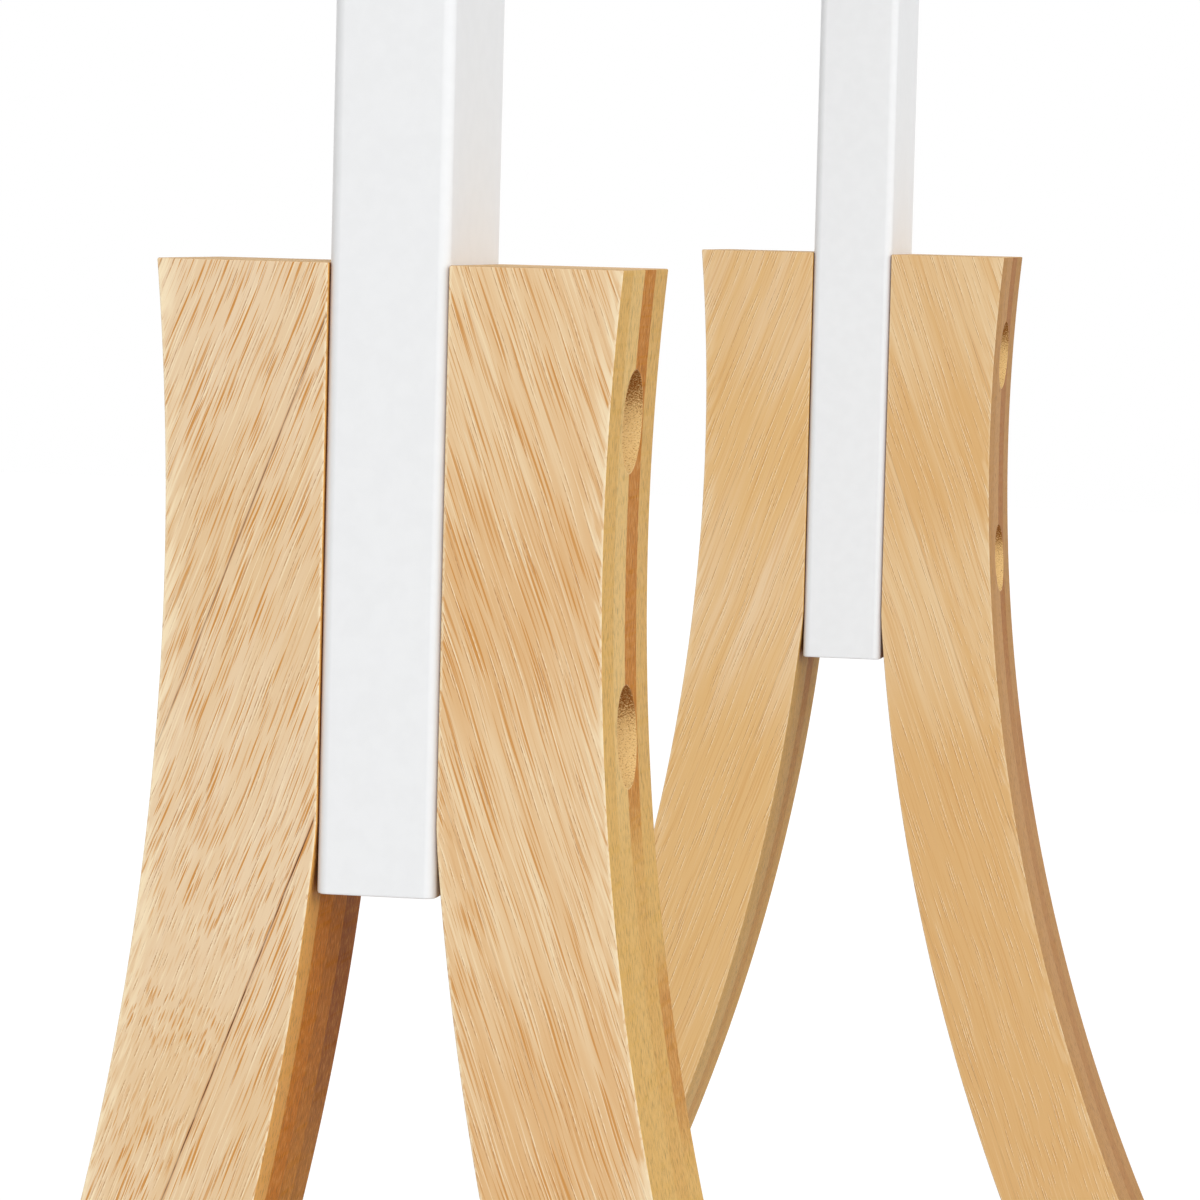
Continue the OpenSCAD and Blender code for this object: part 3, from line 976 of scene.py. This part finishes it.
# %% Rows of bolts and nuts
for side, side_sign in SIDES.items():
    at_x = side_sign * upright_x
    rows = {
        "leg_bolts_" + side: (leg_bolt_outline, {
            "start": (at_x, -seat_y, bolt_z), "turn": (-math.pi / 2, 0.0, 0.0),
            "count": 2, "spacing": bolt_step, "head_h": leg_head_h}),
        "sleeve_nuts_" + side: (nut_outline, {
            "start": (at_x, seat_y, bolt_z), "turn": (math.pi / 2, 0.0, 0.0),
            "count": 2, "spacing": bolt_step, "head_h": leg_head_h}),
        "rail_bolts_" + side: (rail_bolt_outline, {
            "start": (at_x + side_sign * tube_d / 2, 0.0, rail_zs[0]),
            "turn": (0.0, -side_sign * math.pi / 2, 0.0),
            "count": 3, "spacing": rail_zs[1] - rail_zs[0], "head_h": rail_head_h}),
    }
    for node, (outline, places) in rows.items():
        sizes = {**places, "socket_r": socket_r, "socket_depth": socket_depth, "socket_corners": 6}
        piece = run("zinc_" + node, [(fasteners, sizes)], zinc, turned(node + "_blank", outline))
        fit(piece, "zinc_plated_steel", node)

# %% [markdown]
# ## Plugs
#
# A moulded plug closes each end of an upright. The upper one has a head that covers the cut
# edge of the steel and takes the knocks, so its rim is rounded. The lower one sits inside.
# Both bodies are hollow boxes: a swept section with a smaller one taken out of it.

# %% Plug recipe
plug = Recipe("hollow_plug", width=0.027, depth=0.017, radius=0.001, wall=0.002, x=0.0,
              low_z=0.0, high_z=0.01, hollow_low_z=0.0, hollow_high_z=0.01)
plug_w, plug_d, plug_r = plug["width"], plug["depth"], plug["radius"]
two_walls = plug["wall"] * 2
plug_body = swept_up(plug, rounded_section(plug, plug_w, plug_d, plug_r))
space_section = rounded_section(plug, plug_w - two_walls, plug_d - two_walls, plug_r * 0.5)
plug_space = swept_up(plug, space_section, "hollow_low_z", "hollow_high_z")
whole_plug = plug.node("GeometryNodeMeshBoolean", {"operation": "UNION", "solver": "EXACT"},
                       {"Mesh 2": [plug["Mesh"], plug_body]})
plug.close(plug.difference(whole_plug, [plug_space]))

# %% The four plugs
plug_wall = 2 * mm
plug_play = 0.05 * mm
soft_rim = rounding(0.8 * mm, 4)
fine_rim = rounding(0.3 * mm, 2)
for side, side_sign in SIDES.items():
    body = {"width": tube_d - 2 * (tube_wall + plug_play), "depth": tube_w - 2 * (tube_wall + plug_play),
            "radius": tube_corner_r - tube_wall - plug_play, "wall": plug_wall,
            "x": side_sign * upright_x}
    low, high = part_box("top_plug_" + side)
    cap = {"width": tube_d, "depth": tube_w, "radius": tube_corner_r, "x": side_sign * upright_x,
           "low_z": tube_top_z, "high_z": high.z}
    top = {**body, "low_z": low.z, "high_z": tube_top_z + plug_wall / 2,
           "hollow_low_z": low.z - overshoot, "hollow_high_z": tube_top_z - plug_wall}
    piece = run("plastic_top_plug_" + side, [(bar, cap), ("BEVEL", soft_rim), (plug, top)], plastic)
    fit(piece, "white_plastic", "top_plug_" + side)
    low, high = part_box("bottom_plug_" + side)
    bottom = {**body, "low_z": low.z, "high_z": high.z,
              "hollow_low_z": low.z + plug_wall, "hollow_high_z": high.z + overshoot}
    piece = run("plastic_bottom_plug_" + side, [(plug, bottom), ("BEVEL", fine_rim)], plastic)
    fit(piece, "white_plastic", "bottom_plug_" + side)

# %% [markdown]
# ## Feet
#
# A rubber pad under each leg keeps the bamboo off a wet floor. A wood screw holds it, with its
# head sunk in the pad. The pad is a ring, so its outline is a closed one.

# %% Foot pads and their screws
pad_web = 1.2 * mm
pad_rim = 0.8 * mm
pad_hole_r = 2 * mm
head_space_r = 3.9 * mm
pad_screw_r = 1.75 * mm
pad_screw_head_h = 1.3 * mm
pad_screw_tip = 1.5 * mm
driver = {"socket_r": 1.3 * mm, "socket_depth": 0.8 * mm, "socket_corners": 4}

for side in SIDES:
    for facing in FACINGS:
        pad_node = "foot_pad_%s_%s" % (facing, side)
        screw_node = "pad_screw_%s_%s" % (facing, side)
        pad_low, pad_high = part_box(pad_node)
        screw_low, screw_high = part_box(screw_node)
        foot = ((pad_low.x + pad_high.x) / 2, (pad_low.y + pad_high.y) / 2, 0.0)
        pad_r = (pad_high.x - pad_low.x) / 2
        head_z = pad_high.z - pad_web
        rim = [(pad_r - pad_rim + pad_rim * math.sin(turn), pad_rim * (1 - math.cos(turn)))
               for turn in quarter_turn(6)]
        pad_outline = [(head_space_r, 0.0), *rim, (pad_r, pad_high.z), (pad_hole_r, pad_high.z),
                       (pad_hole_r, head_z), (head_space_r, head_z)]
        blank = turned("foot_pad_blank", pad_outline, foot, closed=True, steps=64)
        blank.materials.append(rubber)
        fit(run("rubber_" + pad_node, [], rubber, blank), "black_rubber", pad_node)

        screw_head = crowned_head((screw_high.x - screw_low.x) / 2, pad_screw_head_h,
                                  crown_w=1.6 * mm, crown_h=0.9 * mm)
        screw_outline = screw_head + shank(pad_screw_r, screw_high.z - head_z, pad_screw_tip)
        sizes = {"start": (foot[0], foot[1], head_z), "turn": (0.0, 0.0, 0.0), "count": 1,
                 "spacing": 0.01, "head_h": pad_screw_head_h, **driver}
        piece = run("zinc_" + screw_node, [(fasteners, sizes)], zinc,
                    turned("pad_screw_blank", screw_outline))
        fit(piece, "zinc_plated_steel", screw_node)

# %% [markdown]
# ## Pieces that stay as they are
#
# The threaded inserts in the rails' ends are plain rings, and the frame's own solids already
# have their shape. Such a piece only needs its finish, which goes into its material slots.

# %% Rail inserts
for side in SIDES:
    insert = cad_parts["rail_inserts_" + side]
    for slot in insert.material_slots:
        slot.material = zinc
    print(insert.name, len(insert.material_slots), "slot dressed")

# %% [markdown]
# ## The studio
#
# A product photograph has a seamless white backdrop and light from all sides. A pale floor
# takes a faint shadow, and glows a little where the camera sees it, so that its far edge is
# lost in the white behind it.

# %% Pale floor
def seen_directly(graph):
    """One for what the camera sees, also in metal and through glass."""
    camera_ray = graph.node("ShaderNodeLightPath", output="Is Camera Ray")
    rays = camera_ray.socket.node.outputs
    return camera_ray.at_least(Wire(graph, rays["Is Glossy Ray"])).at_least(
        Wire(graph, rays["Is Transmission Ray"]))


floor_glow = 0.5


def pale_floor():
    paint = Finish("pale_floor", {"Roughness": 0.9, "Specular IOR Level": 0.1})
    x, y, z = paint.place()
    mottle = paint.noise(x / 60, y / 60, z / 60)
    paint.feed("Base Color", paint.blend(mottle, shade(206, 206, 206), shade(210, 210, 210)))
    seen = seen_directly(paint)
    glow = paint.node("ShaderNodeEmission", None, {"Color": (1, 1, 1, 1), "Strength": floor_glow})
    none = paint.node("ShaderNodeEmission", None, {"Color": (0, 0, 0, 1), "Strength": 0.0})
    lift = paint.node("ShaderNodeMixShader", None, {0: seen, 1: none, 2: glow})
    lifted = paint.node("ShaderNodeAddShader", None, {0: Wire(paint, paint.shader.outputs[0]), 1: lift})
    paint.tree.links.new(lifted.socket, paint.tree.nodes["Material Output"].inputs["Surface"])
    return paint.material


floor_half = 6.0
floor_mesh = bpy.data.meshes.new("floor")
floor_corners = [(-floor_half, -floor_half, 0), (floor_half, -floor_half, 0),
                 (floor_half, floor_half, 0), (-floor_half, floor_half, 0)]
floor_mesh.from_pydata(floor_corners, [], [(0, 1, 2, 3)])
floor_mesh.materials.append(pale_floor())
floor = add("floor", floor_mesh)
print("floor", 2 * floor_half, "m wide")

# %% [markdown]
# The world gives a dim, even light, but seen by the camera or in a reflection it is plain
# white. A Mix Shader tells the two apart by the kind of ray.

# %% White backdrop
ambient_light = 0.38
world = bpy.data.worlds.new("studio")
world.use_nodes = True
bpy.context.scene.world = world
sky = Graph(world.node_tree)
ambient = sky.node("ShaderNodeBackground", None, {"Color": (1, 1, 1, 1), "Strength": ambient_light})
white = sky.node("ShaderNodeBackground", None, {"Color": (1, 1, 1, 1), "Strength": 1.0})
whole = sky.node("ShaderNodeMixShader", None, {0: seen_directly(sky), 1: ambient, 2: white})
world.node_tree.links.new(whole.socket, world.node_tree.nodes["World Output"].inputs["Surface"])
print("world", world.name, "with", len(sky.tree.nodes), "nodes")

# %% [markdown]
# Three wide suns shape the pieces: a key from behind the camera and above it, a weaker fill
# from the front, and one from behind the stand that lifts its far side.

# %% Lamps
def soft_sun(name, comes_from, strength, spread):
    """Light from one side of the room. A wide angle makes it as soft as a big window."""
    sun = bpy.data.lights.new(name, "SUN")
    sun.energy = strength
    sun.angle = math.radians(spread)
    add(name, sun).rotation_euler = Vector(comes_from).to_track_quat("Z", "Y").to_euler()


soft_sun("key", (-0.85, -0.28, 0.45), strength=1.75, spread=50)
soft_sun("fill", (-0.05, -0.9, 0.35), strength=0.82, spread=60)
soft_sun("back", (0.6, 0.6, 0.5), strength=0.8, spread=60)
print("lamps:", [one.name for one in bpy.data.lights])
